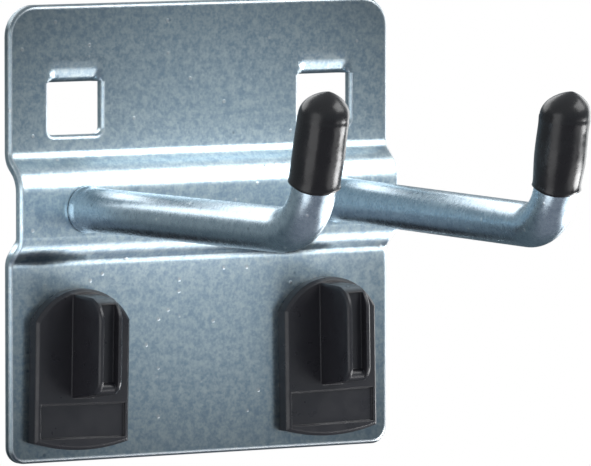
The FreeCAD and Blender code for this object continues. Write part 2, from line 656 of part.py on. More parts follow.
def join_arc(sketch, arc, first, second, radius):
    """Tie both ends of an arc to its neighbours and give it a named radius."""
    for neighbour, position in (first, second):
        gap = sketch.getPoint(arc, 1) - sketch.getPoint(neighbour, position)
        end = 1 if gap.Length < 1e-6 else 2
        rule = Sketcher.Constraint("Coincident", arc, end, neighbour, position)
        sketch.addConstraint(rule)
    bind(sketch, Sketcher.Constraint("Radius", arc, size(radius)), radius)


fill_sheet()
pieces = [make_back_plate()]
for side in ("left", "right"):
    pieces += [make_rod(side), make_cap(side), make_clip(side)]
doc.recompute()

for item in doc.Objects:
    if "Invalid" in item.State or "Error" in item.State:
        raise RuntimeError(item.Name + " did not compute: " + ", ".join(item.State))
for piece in pieces:
    if piece.Shape.isNull() or not piece.Shape.isValid() or len(piece.Shape.Solids) != 1:
        raise RuntimeError(piece.Label + " is not one valid solid")

os.makedirs("parts", exist_ok=True)
for piece in pieces:
    piece.Shape.exportStep("parts/%s.step" % piece.Label)
    box = piece.Shape.BoundBox
    print("%-20s %8.1f mm3  X %6.2f %6.2f  Y %6.2f %6.2f  Z %6.2f %6.2f" % (
        piece.Label, piece.Shape.Volume, box.XMin, box.XMax, box.YMin, box.YMax,
        box.ZMin, box.ZMax))
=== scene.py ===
# %% [markdown]
# # A double hook for a square-hole tool panel
#
# The real thing is a folded, zinc-plated sheet with two round rods riveted through its
# raised band. A soft black cap sits on each rod and two moulded clips lock the sheet to
# the panel. The imported model already has every piece at its real size, so this lesson
# dresses it: it makes the finishes, the soft and rounded shapes and the studio.

# %% Load the imported model and keep every piece where it stands
import math

import bmesh
import bpy
from mathutils import Matrix, Vector, noise


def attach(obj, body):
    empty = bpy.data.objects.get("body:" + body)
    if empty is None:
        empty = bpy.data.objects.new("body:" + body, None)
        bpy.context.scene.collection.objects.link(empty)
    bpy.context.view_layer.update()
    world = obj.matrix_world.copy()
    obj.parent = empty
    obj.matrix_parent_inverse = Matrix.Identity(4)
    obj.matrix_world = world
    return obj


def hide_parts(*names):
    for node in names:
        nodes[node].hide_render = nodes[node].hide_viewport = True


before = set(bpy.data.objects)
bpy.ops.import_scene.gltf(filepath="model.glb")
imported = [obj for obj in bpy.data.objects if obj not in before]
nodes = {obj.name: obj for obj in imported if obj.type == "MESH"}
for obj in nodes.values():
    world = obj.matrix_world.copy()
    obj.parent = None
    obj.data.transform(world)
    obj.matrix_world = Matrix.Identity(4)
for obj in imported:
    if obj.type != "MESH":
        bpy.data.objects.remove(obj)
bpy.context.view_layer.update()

MM = 0.001

# %% [markdown]
# ## The camera
#
# The photo was taken with a long lens from the left and a little above. A camera far
# away with a narrow angle keeps the plate's edges almost parallel, as they are there.
# The distance and the focal length were fitted to the corners of the plate and to both
# rods, and the picture's own width sets the sensor.

# %% Place the camera
PICTURE_WIDTH = 591
FOCAL_PIXELS = 8976
SENSOR_WIDTH = 36.0
AZIMUTH, ELEVATION = math.radians(-32.05), math.radians(4.12)
DISTANCE = 1180 * MM
TARGET = Vector((15.33, 0.0, -20.2)) * MM

camera = bpy.data.objects.new("camera", bpy.data.cameras.new("camera"))
bpy.context.scene.collection.objects.link(camera)
camera.data.sensor_width = SENSOR_WIDTH
camera.data.lens = SENSOR_WIDTH * FOCAL_PIXELS / PICTURE_WIDTH
camera.data.clip_start, camera.data.clip_end = 0.01, 20.0
towards_camera = Vector((
    math.sin(AZIMUTH) * math.cos(ELEVATION),
    -math.cos(AZIMUTH) * math.cos(ELEVATION),
    math.sin(ELEVATION)))
camera.location = TARGET + towards_camera * DISTANCE
camera.rotation_mode = "QUATERNION"
camera.rotation_quaternion = (-towards_camera).to_track_quat("-Z", "Y")
bpy.context.scene.camera = camera
bpy.context.scene.view_settings.view_transform = "Standard"
print("lens", round(camera.data.lens, 1), "mm")

# %% [markdown]
# ## The studio
#
# Metal shows what stands round it, so the studio is worked out from the reflections in
# the photo. The flat sheet mirrors a grey-blue horizon in front. Slopes that face up
# mirror one large soft light high on the right. The heel under the band, the right sides
# of the rods and the caps mirror two lights low on the right, and slopes that face
# further down mirror the darker table. The outer sides of the bends mirror a light on the
# right, and the broken edges on the left mirror a narrow one beside the camera. The last
# light stands high behind.

# %% Helpers for node trees


def new_tree(owner):
    """An empty node tree on a material or a world."""
    owner.use_nodes = True
    owner.node_tree.nodes.clear()
    return owner.node_tree


def add(tree, kind, **values):
    """A node with some of its settings or input sockets filled in."""
    node = tree.nodes.new(kind)
    for name, value in values.items():
        if name in node.inputs:
            node.inputs[name].default_value = value
        else:
            setattr(node, name, value)
    return node


def wire(tree, *steps):
    """Join output sockets to input sockets, given as pairs."""
    for output, entry in steps:
        tree.links.new(output, entry)


def math_node(tree, operation, first, second=None):
    """A math node whose operands are output sockets or plain numbers."""
    node = tree.nodes.new("ShaderNodeMath")
    node.operation = operation
    for entry, value in zip(node.inputs, (first, second)):
        if isinstance(value, (int, float)):
            entry.default_value = value
        elif value is not None:
            tree.links.new(value, entry)
    return node.outputs[0]


def fade(tree, value, start, end, low=0.0, high=1.0):
    """A smooth change from low to high while a value runs from start to end."""
    node = tree.nodes.new("ShaderNodeMapRange")
    node.interpolation_type = "SMOOTHSTEP"
    tree.links.new(value, node.inputs["Value"])
    for name, number in (("From Min", start), ("From Max", end),
                         ("To Min", low), ("To Max", high)):
        node.inputs[name].default_value = number
    return node.outputs["Result"]


def blend(tree, factor, first, second):
    """A colour between two others; each is an output socket or a plain colour."""
    node = tree.nodes.new("ShaderNodeMix")
    node.data_type = "RGBA"
    tree.links.new(factor, node.inputs["Factor"])
    for entry, value in ((node.inputs["A"], first), (node.inputs["B"], second)):
        if isinstance(value, tuple):
            entry.default_value = (*value, 1.0)
        else:
            tree.links.new(value, entry)
    return node.outputs["Result"]


def axes_of(tree, place):
    """The three separate coordinates of a place."""
    split = add(tree, "ShaderNodeSeparateXYZ")
    tree.links.new(place, split.inputs[0])
    return split.outputs


# %% [markdown]
# The sky is a few soft zones: the horizon in front and behind, the brighter upper half,
# the table in front and the shaded table behind. Only the camera sees pure white. The
# zones change over while the direction's own coordinates run between two values.

# %% The sky
HORIZON = (0.38, 0.43, 0.47)
HORIZON_BEHIND = (0.24, 0.28, 0.30)
OVERHEAD = (0.50, 0.54, 0.57)
TABLE_FRONT = (0.26, 0.27, 0.31)
TABLE_BEHIND = (0.10, 0.13, 0.15)
BACK_STARTS, BACK_FULL = -0.1, 0.6
UP_STARTS, UP_FULL = 0.12, 0.55
DOWN_STARTS, DOWN_FULL = -0.10, -0.45

world = bpy.data.worlds.new("studio")
bpy.context.scene.world = world
sky = new_tree(world)
where = axes_of(sky, add(sky, "ShaderNodeTexCoord").outputs["Generated"])
behind = fade(sky, where["Y"], BACK_STARTS, BACK_FULL)
above = fade(sky, where["Z"], UP_STARTS, UP_FULL)
below = fade(sky, where["Z"], DOWN_STARTS, DOWN_FULL)
level = blend(sky, behind, HORIZON, HORIZON_BEHIND)
table = blend(sky, behind, TABLE_FRONT, TABLE_BEHIND)
colour = blend(sky, below, blend(sky, above, level, OVERHEAD), table)
surroundings = add(sky, "ShaderNodeBackground")
ground = add(sky, "ShaderNodeBackground", Color=(1, 1, 1, 1), Strength=1.0)
path = add(sky, "ShaderNodeLightPath")
pick = add(sky, "ShaderNodeMixShader")
result = add(sky, "ShaderNodeOutputWorld")
wire(sky,
     (colour, surroundings.inputs["Color"]),
     (path.outputs["Is Camera Ray"], pick.inputs["Fac"]),
     (surroundings.outputs[0], pick.inputs[1]),
     (ground.outputs[0], pick.inputs[2]),
     (pick.outputs[0], result.inputs["Surface"]))

# %% [markdown]
# Lamps are placed by compass angle and height, as a photographer would walk round the
# table: angle 0 is straight in front of the sheet and 90 is on its right.

# %% The lamps
LAMP_DISTANCE = 0.6


def direction_from(azimuth, elevation):
    """A unit vector: azimuth 0 is in front of the plate, 90 on its right."""
    a, e = math.radians(azimuth), math.radians(elevation)
    return Vector((math.sin(a) * math.cos(e), -math.cos(a) * math.cos(e), math.sin(e)))


def softbox(name, azimuth, elevation, wide, tall, radiance):
    """A lamp aimed at the object, its size given in degrees; radiance 1 is paper white."""
    lamp = bpy.data.objects.new(name, bpy.data.lights.new(name, "AREA"))
    bpy.context.scene.collection.objects.link(lamp)
    width, height = (2 * LAMP_DISTANCE * math.tan(math.radians(a / 2)) for a in (wide, tall))
    lamp.data.shape = "RECTANGLE"
    lamp.data.size, lamp.data.size_y = width, height
    lamp.data.energy = radiance * math.pi * width * height
    out = direction_from(azimuth, elevation)
    lamp.location = TARGET + out * LAMP_DISTANCE
    lamp.rotation_mode = "QUATERNION"
    lamp.rotation_quaternion = out.to_track_quat("Z", "Y")
    lamp.visible_camera = False


softbox("key_right_high", 48, 38, 40, 34, 4.0)
softbox("low_right", 60, -36, 64, 34, 1.6)
softbox("low_right_spot", 72, -28, 28, 26, 13.0)
softbox("side_right", 112, 0, 30, 60, 2.4)
softbox("beside_camera", -64, -6, 34, 50, 1.4)
softbox("behind_high", -168, 34, 60, 26, 2.0)

# %% [markdown]
# The floor only throws soft light back up. To the camera it is as white as the
# background, and the metal mirrors the table of the sky instead.

# %% The floor
FLOOR_LEVEL, FLOOR_REACH = -0.17, 3.0
floor_mesh = bpy.data.meshes.new("floor")
floor_mesh.from_pydata(
    [(x * FLOOR_REACH, y * FLOOR_REACH, FLOOR_LEVEL)
     for x, y in ((-1, -1), (1, -1), (1, 1), (-1, 1))], [], [(0, 1, 2, 3)])
floor = bpy.data.objects.new("floor", floor_mesh)
bpy.context.scene.collection.objects.link(floor)
floor.visible_glossy = False

pale = bpy.data.materials.new("pale_floor")
tree = new_tree(pale)
paint = add(tree, "ShaderNodeBsdfDiffuse", Color=(0.8, 0.8, 0.8, 1))
white = add(tree, "ShaderNodeEmission", Color=(1, 1, 1, 1), Strength=1.0)
path = add(tree, "ShaderNodeLightPath")
pick = add(tree, "ShaderNodeMixShader")
result = add(tree, "ShaderNodeOutputMaterial")
wire(tree,
     (path.outputs["Is Camera Ray"], pick.inputs["Fac"]),
     (paint.outputs[0], pick.inputs[1]),
     (white.outputs[0], pick.inputs[2]),
     (pick.outputs[0], result.inputs["Surface"]))
floor.data.materials.append(pale)

# %% [markdown]
# ## Zinc-plated steel
#
# Bright zinc on cold-rolled sheet isn't even: it has a cloudy mottle, a fine grain, small
# bright specks and a few short dark rubs. Each is a texture of its own size on the
# object's coordinates, so it stays on the metal in any view. The shading runs round every
# edge as if it were broken a little, and there the colour is painted lighter: a painted
# highlight.

# %% Textures and edges
EDGE_SAMPLES = 6
# Where the lighter edge colour, a painted highlight, begins and is full.
HIGHLIGHT_STARTS, HIGHLIGHT_FULL = 0.99, 0.90
SPOT_CORE, CHOICE_BLUR = 0.4, 0.02


def noise_of(tree, place, size, detail=4.0, roughness=0.55):
    """Noise whose blotches are about as large as the given size."""
    node = add(tree, "ShaderNodeTexNoise", Scale=1.0 / size, Detail=detail,
               Roughness=roughness)
    tree.links.new(place, node.inputs["Vector"])
    return node.outputs["Fac"]


def rounded(tree, radius):
    """Normals that run round an edge as if it had the given radius."""
    return add(tree, "ShaderNodeBevel", Radius=radius, samples=EDGE_SAMPLES).outputs["Normal"]


def painted_edge_highlight(tree, turned):
    """1 where the rounded normal leaves the face's own, which is along an edge; there a painted
    highlight goes.
    """
    face = add(tree, "ShaderNodeNewGeometry")
    match = add(tree, "ShaderNodeVectorMath", operation="DOT_PRODUCT")
    wire(tree, (face.outputs["Normal"], match.inputs[0]), (turned, match.inputs[1]))
    return fade(tree, match.outputs["Value"], HIGHLIGHT_STARTS, HIGHLIGHT_FULL)


def spots(tree, place, spacing, size, share):
    """Small round spots in a share of the cells of a loose grid; 1 inside a spot."""
    cells = add(tree, "ShaderNodeTexVoronoi", Scale=1.0 / spacing, Randomness=1.0)
    tree.links.new(place, cells.inputs["Vector"])
    chance = tree.nodes.new("ShaderNodeSeparateColor")
    tree.links.new(cells.outputs["Color"], chance.inputs["Color"])
    reach = size / spacing
    inside = fade(tree, cells.outputs["Distance"], reach, reach * SPOT_CORE)
    chosen = fade(tree, chance.outputs["Red"], share, share - CHOICE_BLUR)
    return math_node(tree, "MULTIPLY", inside, chosen)


# %% The zinc finish
CLOUD_SIZE, CLOUD_DETAIL, CLOUD_ROUGHNESS = 1.1 * MM, 5.0, 0.68
GRAIN_SIZE, GRAIN_DETAIL = 0.35 * MM, 2.0
CLOUD_SHARE, TONE_DARK, TONE_LIGHT = 0.6, 0.34, 0.66
SPECKS = dict(spacing=1.7 * MM, size=0.34 * MM, share=0.22)
RUBS = dict(spacing=2.4 * MM, size=0.34 * MM, share=0.12)
# The edge colour is a painted highlight along every edge.
SPECK_COLOUR, EDGE_HIGHLIGHT_COLOUR = (0.92, 0.98, 1.0), (0.93, 0.97, 1.0)
RUB_SHADE = 0.75
SHARPER, DULLER, DULL_FROM, DULL_TO = 0.02, 0.03, 0.3, 0.7
GRAIN_HEIGHT, CLOUD_HEIGHT, SPECK_HEIGHT = 0.005 * MM, 0.012 * MM, 0.022 * MM


def zinc(name, light, dark, roughness, edge, relief_of=None, rim_shade_of=None):
    """Mottled zinc; relief_of adds larger forms to the grain, rim_shade_of paints shade on
    parts, and the edges get a painted highlight.
    """
    material = bpy.data.materials.new(name)
    tree = new_tree(material)
    place = add(tree, "ShaderNodeTexCoord").outputs["Object"]
    clouds = noise_of(tree, place, CLOUD_SIZE, CLOUD_DETAIL, CLOUD_ROUGHNESS)
    grain = noise_of(tree, place, GRAIN_SIZE, GRAIN_DETAIL)
    tone = math_node(tree, "ADD", math_node(tree, "MULTIPLY", clouds, CLOUD_SHARE),
                     math_node(tree, "MULTIPLY", grain, 1 - CLOUD_SHARE))
    tone = fade(tree, tone, TONE_DARK, TONE_LIGHT)
    specks = spots(tree, place, **SPECKS)
    colour = blend(tree, tone, dark, light)
    colour = blend(tree, specks, colour, SPECK_COLOUR)
    colour = blend(tree, spots(tree, place, **RUBS), colour, tuple(RUB_SHADE * v for v in dark))
    dull = fade(tree, clouds, DULL_FROM, DULL_TO, roughness - SHARPER, roughness + DULLER)
    height = math_node(tree, "MULTIPLY", grain, GRAIN_HEIGHT)
    for texture, rise in ((clouds, CLOUD_HEIGHT), (specks, SPECK_HEIGHT)):
        height = math_node(tree, "ADD", height, math_node(tree, "MULTIPLY", texture, rise))
    if relief_of:
        height = math_node(tree, "ADD", height, relief_of(tree, place))
    if rim_shade_of:
        # Darker away from the band: painted shade.
        colour = blend(tree, rim_shade_of(tree, place), (0, 0, 0), colour)
    turned = rounded(tree, edge)
    # Edges are painted lighter: a painted highlight on their rounded rims.
    colour = blend(tree, painted_edge_highlight(tree, turned), colour, EDGE_HIGHLIGHT_COLOUR)
    relief = add(tree, "ShaderNodeBump", Strength=1.0, Distance=1.0)
    metal = add(tree, "ShaderNodeBsdfPrincipled", Metallic=1.0)
    result = add(tree, "ShaderNodeOutputMaterial")
    wire(tree,
         (colour, metal.inputs["Base Color"]),
         (dull, metal.inputs["Roughness"]),
         (height, relief.inputs["Height"]),
         (turned, relief.inputs["Normal"]),
         (relief.outputs["Normal"], metal.inputs["Normal"]),
         (metal.outputs[0], result.inputs["Surface"]))
    return material


# %% [markdown]
# The sheet's colour is darkened towards its rim, away from the band: a painted shade. It
# grows with the distance from the band, worked out from the object's coordinates, so
# nothing has to be unwrapped.

# %% The painted shade on the sheet
# Where the painted shade lies and how strong it is.
RIM_SHADE_HALF_WIDTH, RIM_SHADE_HALF_HEIGHT, RIM_SHADE_LEVEL = 40.0 * MM, 29.0 * MM, -17.0 * MM
RIM_SHADE_STRENGTH, RIM_SHADE_CLEAR, RIM_SHADE_FULL = 0.9, 3.0 * MM, 8.0 * MM


def painted_rim_shade(tree, place):
    """The share of the sheet's colour kept where it is darkened away from the band as painted
    shade.
    """
    axes = axes_of(tree, place)
    across = math_node(tree, "DIVIDE", axes["X"], RIM_SHADE_HALF_WIDTH)
    level = math_node(tree, "SUBTRACT", axes["Z"], RIM_SHADE_LEVEL)
    level = math_node(tree, "ABSOLUTE", level)
    off_band = fade(tree, level, RIM_SHADE_CLEAR, RIM_SHADE_FULL)
    across = math_node(tree, "MULTIPLY", math_node(tree, "POWER", across, 2.0), off_band)
    level = math_node(tree, "POWER", math_node(tree, "DIVIDE", level, RIM_SHADE_HALF_HEIGHT), 2.0)
    distance = math_node(tree, "ADD", across, level)
    return math_node(tree, "EXPONENT", math_node(tree, "MULTIPLY", distance, -RIM_SHADE_STRENGTH))


# %% [markdown]
# The press leaves more in a sheet than its outline. The lands rise a little towards each
# crease, the face of the band is crowned towards its upper shoulder, the heel under the
# band turns down in a longer sweep, and the metal above each window was drawn in when the
# claw was bent back. They could be modelled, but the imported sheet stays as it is. So they
# are relief, in metres along the normal.

# %% The relief of the folded sheet
HALF_PITCH = 19.0 * MM
UPPER_CREASE, LOWER_CREASE, CREASE_REACH = -8.85 * MM, -22.5 * MM, 4.0 * MM
UPPER_SLOPE, LOWER_SLOPE = math.tan(math.radians(9.0)), math.tan(math.radians(6.0))
CROWN_LEVEL, CROWN_SLOPE = -17.6 * MM, math.tan(math.radians(7.0))
HEEL_FOOT, HEEL_MIDDLE, HEEL_TOP = -21.95 * MM, -20.4 * MM, -19.1 * MM
HEEL_SLOPE = math.tan(math.radians(39.0))
DENT_FOOT, DENT_TOP, DENT_DEPTH = 1.7 * MM, 4.1 * MM, 0.20 * MM
DENT_HALF_WIDTH, DENT_END, DENT_HELD, DENT_GONE = 5.0 * MM, 2.2 * MM, 0.0, -4.0 * MM


def land(tree, distance, slope):
    """Raised towards a crease: highest at the crease, fading over a few millimetres."""
    away = math_node(tree, "MAXIMUM", math_node(tree, "DIVIDE", distance, CREASE_REACH), 0.0)
    decay = math_node(tree, "EXPONENT", math_node(tree, "MULTIPLY", away, -1.0))
    return math_node(tree, "MULTIPLY", decay, CREASE_REACH * slope)


def roll(tree, distance, reach, slope):
    """Falls away ever faster up to a reach, where it has the given slope."""
    off = math_node(tree, "MAXIMUM", math_node(tree, "MINIMUM", distance, reach), 0.0)
    return math_node(tree, "MULTIPLY", math_node(tree, "POWER", off, 2.0), -slope / (2 * reach))


def dent(tree, across, level):
    """Drawn in above both windows, and faded out again where no metal stands."""
    side = math_node(tree, "SUBTRACT", math_node(tree, "ABSOLUTE", across), HALF_PITCH)
    side = math_node(tree, "ABSOLUTE", side)
    held = fade(tree, level, DENT_GONE, DENT_HELD)
    within = fade(tree, side, DENT_HALF_WIDTH, DENT_HALF_WIDTH - DENT_END)
    within = math_node(tree, "MULTIPLY", within, held)
    return math_node(tree, "MULTIPLY", within,
                     fade(tree, level, DENT_FOOT, DENT_TOP, -DENT_DEPTH, 0.0))


def sheet_relief(tree, place):
    """All the soft forms of the pressed sheet, added up."""
    axes = axes_of(tree, place)

    def above(start):
        return math_node(tree, "SUBTRACT", axes["Z"], start)

    def below(start):
        return math_node(tree, "SUBTRACT", start, axes["Z"])

    total = dent(tree, axes["X"], axes["Z"])
    forms = (land(tree, above(UPPER_CREASE), UPPER_SLOPE),
             land(tree, below(LOWER_CREASE), LOWER_SLOPE),
             roll(tree, above(CROWN_LEVEL), UPPER_CREASE - CROWN_LEVEL, CROWN_SLOPE),
             roll(tree, above(HEEL_FOOT), HEEL_MIDDLE - HEEL_FOOT, HEEL_SLOPE),
             roll(tree, below(HEEL_TOP), HEEL_TOP - HEEL_MIDDLE, -HEEL_SLOPE))
    for form in forms:
        total = math_node(tree, "ADD", total, form)
    return total


# %% Mix the three zinc finishes
SHEET = dict(light=(0.84, 0.97, 1.0), dark=(0.50, 0.66, 0.79), roughness=0.30,
             relief_of=sheet_relief, rim_shade_of=painted_rim_shade)
zinc_sheet = zinc("zinc_sheet_finish", edge=0.45 * MM, **SHEET)
zinc_bend = zinc("zinc_bend_finish", edge=0.0, **SHEET)
zinc_rod = zinc("zinc_rod_finish", (0.62, 0.73, 0.80), (0.44, 0.54, 0.62), 0.27, 0.1 * MM)
print("zinc:", ", ".join(m.name for m in (zinc_sheet, zinc_bend, zinc_rod)))

# %% [markdown]
# ## Soft black vinyl and moulded plastic
#
# The caps are soft vinyl and the clips are moulded. Both are black with a fine grain and
# patches that are a little glossier. The vinyl also ripples, because it was dipped, and a
# low, wide bump is enough for that. One helper makes both, because only numbers differ.

# %% The two blacks
PATCH_SIZE, PATCH_DETAIL, PATCH_GLOSS = 2.2 * MM, 2.0, 0.07


def black(name, colour, roughness, edge, grain_size, depth, ripple=0.0):
    """A black skin; depth is the height of its grain and ripple that of its patches."""
    material = bpy.data.materials.new(name)
    tree = new_tree(material)
    place = add(tree, "ShaderNodeTexCoord").outputs["Object"]
    grain = noise_of(tree, place, grain_size)
    patches = noise_of(tree, place, PATCH_SIZE, PATCH_DETAIL)
    dull = fade(tree, patches, DULL_FROM, DULL_TO, roughness - PATCH_GLOSS,
                roughness + PATCH_GLOSS)
    height = math_node(tree, "ADD", math_node(tree, "MULTIPLY", grain, depth),
                       math_node(tree, "MULTIPLY", patches, ripple))
    relief = add(tree, "ShaderNodeBump", Strength=1.0, Distance=1.0)
    skin = add(tree, "ShaderNodeBsdfPrincipled")
    skin.inputs["Base Color"].default_value = (*colour, 1)
    result = add(tree, "ShaderNodeOutputMaterial")
    wire(tree,
         (dull, skin.inputs["Roughness"]),
         (height, relief.inputs["Height"]),
         (rounded(tree, edge), relief.inputs["Normal"]),
         (relief.outputs["Normal"], skin.inputs["Normal"]),
         (skin.outputs[0], result.inputs["Surface"]))
    return material


cap_vinyl = black("cap_vinyl", (0.009, 0.008, 0.009), 0.27, 0.1 * MM,
                  0.5 * MM, 0.004 * MM, 0.05 * MM)
clip_plastic = black("clip_plastic", (0.019, 0.018, 0.022), 0.34, 0.28 * MM,
                     0.3 * MM, 0.003 * MM)

# %% [markdown]
# ## The rods
#
# Each rod is a path: straight out of the band, round one bend and up to its end. Geometry
# Nodes fillets the corner and sweeps the round section along it, a little thicker where
# the shoulder was staked against the band. A bevelled curve would do too, but the tree
# takes the swelling along with it. The head behind the band is turned.

# %% The tree that bends a rod
BEND_STEPS, ROUND_STEPS, ROD_STEP = 24, 72, 0.15 * MM
SWELL_STARTS, SWELL_FULL = 0.06 * MM, 0.3 * MM
SWELL_FADES, SWELL_GONE = 0.5 * MM, 1.6 * MM


def rod_tree():
    """A node tree that takes three points and gives one bent, swept and painted rod."""
    tree = bpy.data.node_groups.new("bent_rod", "GeometryNodeTree")
    face = tree.interface
    face.new_socket("Geometry", in_out="OUTPUT", socket_type="NodeSocketGeometry")
    for name in ("Root", "Corner", "Tip"):
        face.new_socket(name, in_out="INPUT", socket_type="NodeSocketVector")
    for name in ("Bend Radius", "Diameter", "Shoulder Swell", "Shoulder Length"):
        face.new_socket(name, in_out="INPUT", socket_type="NodeSocketFloat")
    face.new_socket("Finish", in_out="INPUT", socket_type="NodeSocketMaterial")
    given = tree.nodes.new("NodeGroupInput").outputs
    result = tree.nodes.new("NodeGroupOutput")
    line = add(tree, "GeometryNodeMeshLine")
    line.inputs["Count"].default_value = 3
    index = tree.nodes.new("GeometryNodeInputIndex")
    choose = tree.nodes.new("GeometryNodeIndexSwitch")
    choose.data_type = "VECTOR"
    choose.index_switch_items.new()
    placed = tree.nodes.new("GeometryNodeSetPosition")
    curve = tree.nodes.new("GeometryNodeMeshToCurve")
    fillet = add(tree, "GeometryNodeFilletCurve", mode="POLY", Count=BEND_STEPS)
    even = add(tree, "GeometryNodeResampleCurve", mode="LENGTH", Length=ROD_STEP)
    along = tree.nodes.new("GeometryNodeSplineParameter")
    root_length = math_node(tree, "SUBTRACT", along.outputs["Length"], given["Shoulder Length"])
    swell = math_node(tree, "MULTIPLY", fade(tree, root_length, SWELL_STARTS, SWELL_FULL),
                      fade(tree, root_length, SWELL_FADES, SWELL_GONE, 1.0, 0.0))
    swell = math_node(tree, "MULTIPLY", swell, given["Shoulder Swell"])
    thickness = math_node(tree, "ADD", swell, 1.0)
    ring = add(tree, "GeometryNodeCurvePrimitiveCircle", Resolution=ROUND_STEPS)
    half = math_node(tree, "MULTIPLY", given["Diameter"], 0.5)
    sweep = tree.nodes.new("GeometryNodeCurveToMesh")
    sweep.inputs["Fill Caps"].default_value = True
    smooth = tree.nodes.new("GeometryNodeSetShadeSmooth")
    real = tree.nodes.new("GeometryNodeRealizeInstances")
    paint = tree.nodes.new("GeometryNodeSetMaterial")
    wire(tree,
         (index.outputs[0], choose.inputs["Index"]),
         (given["Root"], choose.inputs[1]),
         (given["Corner"], choose.inputs[2]),
         (given["Tip"], choose.inputs[3]),
         (line.outputs["Mesh"], placed.inputs["Geometry"]),
         (choose.outputs[0], placed.inputs["Position"]),
         (placed.outputs[0], curve.inputs["Mesh"]),
         (curve.outputs[0], fillet.inputs["Curve"]),
         (given["Bend Radius"], fillet.inputs["Radius"]),
         (fillet.outputs[0], even.inputs["Curve"]),
         (even.outputs[0], sweep.inputs["Curve"]),
         (half, ring.inputs["Radius"]),
         (ring.outputs["Curve"], sweep.inputs["Profile Curve"]),
         (thickness, sweep.inputs["Scale"]),
         (sweep.outputs[0], smooth.inputs["Geometry"]),
         (smooth.outputs[0], real.inputs[0]),
         (real.outputs[0], paint.inputs["Geometry"]),
         (given["Finish"], paint.inputs["Material"]),
         (paint.outputs[0], result.inputs[0]))
    return tree


bent_rod = rod_tree()

# %% Helpers that make finished pieces


def run_tree(name, tree, **values):
    """Evaluate a node tree on an empty object and keep only the mesh it makes."""
    holder = bpy.data.objects.new(name, bpy.data.meshes.new(name + "_seed"))
    bpy.context.scene.collection.objects.link(holder)
    modifier = holder.modifiers.new("tree", "NODES")
    modifier.node_group = tree
    for item in tree.interface.items_tree:
        key = item.name.replace(" ", "_").lower()
        if item.in_out == "INPUT" and key in values:
            modifier[item.identifier] = values[key]
    bpy.context.view_layer.update()
    ready = holder.evaluated_get(bpy.context.evaluated_depsgraph_get())
    mesh = bpy.data.meshes.new_from_object(ready)
    mesh.name = name
    holder.modifiers.clear()
    holder.data = mesh
    return holder


def lathe(rings, segments, place, shape=None):
    """A turned bmesh; rings are radius and height, and shape may move each point."""
    turned = bmesh.new()
    grid = []
    for radius, height in rings:
        row = []
        for i in range(segments):
            angle = 2 * math.pi * i / segments
            point = Vector((radius * math.cos(angle), radius * math.sin(angle), height))
            row.append(turned.verts.new(place @ (shape(point) if shape else point)))
        grid.append(row)
    for low, high in zip(grid, grid[1:]):
        for i in range(segments):
            j = (i + 1) % segments
            turned.faces.new((low[i], low[j], high[j], high[i]))
    turned.faces.new(list(reversed(grid[0])))
    turned.faces.new(grid[-1])
    for face in turned.faces:
        face.smooth = True
    return turned


def piece_from(built, name, finish, node=None):
    """Turn a bmesh into a finished piece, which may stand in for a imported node."""
    mesh = bpy.data.meshes.new(name)
    built.to_mesh(mesh)
    built.free()
    mesh.materials.append(finish)
    piece = bpy.data.objects.new(name, mesh)
    bpy.context.scene.collection.objects.link(piece)
    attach(piece, "root")
    if node:
        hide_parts(node)


# %% [markdown]
# Both rods and caps were put together by hand, so each side has its own reach, lean and
# droop, measured from the photo.

# %% Bend the rods
ROD_LEVEL, BAND_FRONT = -15.55 * MM, -4.1 * MM
ROD_DIAMETER, SHOULDER_SWELL, ROD_IN_CAP = 5.75 * MM, 0.06, 9.15 * MM
HEAD_RADIUS, HEAD_THICKNESS, HEAD_SEAT, HEAD_EDGE = 3.6 * MM, 1.3 * MM, 1.65 * MM, 0.4 * MM
HEAD_SEGMENTS = 48
HANDED = {
    "left": dict(side=-1, reach=53.0, bend=7.5, lean=14.2, rise=6.0, toe=0.4, droop=-0.2),
    "right": dict(side=1, reach=52.5, bend=6.5, lean=11.0, rise=5.0, toe=1.0, droop=0.7),
}


def rod_frame(hand):
    """Where a rod sits in the band, turned inward and down as it was assembled."""
    place = Matrix.Translation((hand["side"] * HALF_PITCH, BAND_FRONT, ROD_LEVEL))
    toe = Matrix.Rotation(math.radians(-hand["side"] * hand["toe"]), 4, "Z")
    return place @ toe @ Matrix.Rotation(math.radians(hand["droop"]), 4, "X")


def rod_end(hand):
    """The corner of the axis and the direction of the upturned end."""
    lean = math.radians(hand["lean"])
    return Vector((0, -hand["reach"] * MM, 0)), Vector((0, -math.sin(lean), math.cos(lean)))


for name, hand in HANDED.items():
    corner, up = rod_end(hand)
    back = HEAD_SEAT + HEAD_THICKNESS
    swept = run_tree("swept_" + name, bent_rod,
                     root=Vector((0, back, 0)), corner=corner,
                     tip=corner + up * (hand["rise"] * MM + ROD_IN_CAP),
                     bend_radius=hand["bend"] * MM, diameter=ROD_DIAMETER,
                     shoulder_swell=SHOULDER_SWELL, shoulder_length=back, finish=zinc_rod)
    head_rings = [(HEAD_RADIUS, HEAD_SEAT), (HEAD_RADIUS, back - HEAD_EDGE),
                  (HEAD_RADIUS - HEAD_EDGE, back)]
    rod = lathe(head_rings, HEAD_SEGMENTS, Matrix.Rotation(math.radians(-90), 4, "X"))
    rod.from_mesh(swept.data)
    rod.transform(rod_frame(hand))
    bpy.data.objects.remove(swept)
    piece_from(rod, "rod_" + name, zinc_rod, "hook_rod_" + name)
    print("rod", name, "reaches", hand["reach"], "mm")

# %% [markdown]
# ## The caps
#
# A dipped vinyl cap is never quite round. It has a soft lip at its mouth, swells a little
# where the rod ends inside it and its dome leans to one side. It could be sculpted, but a
# turned form that is moved point by point keeps every one of these as a number.

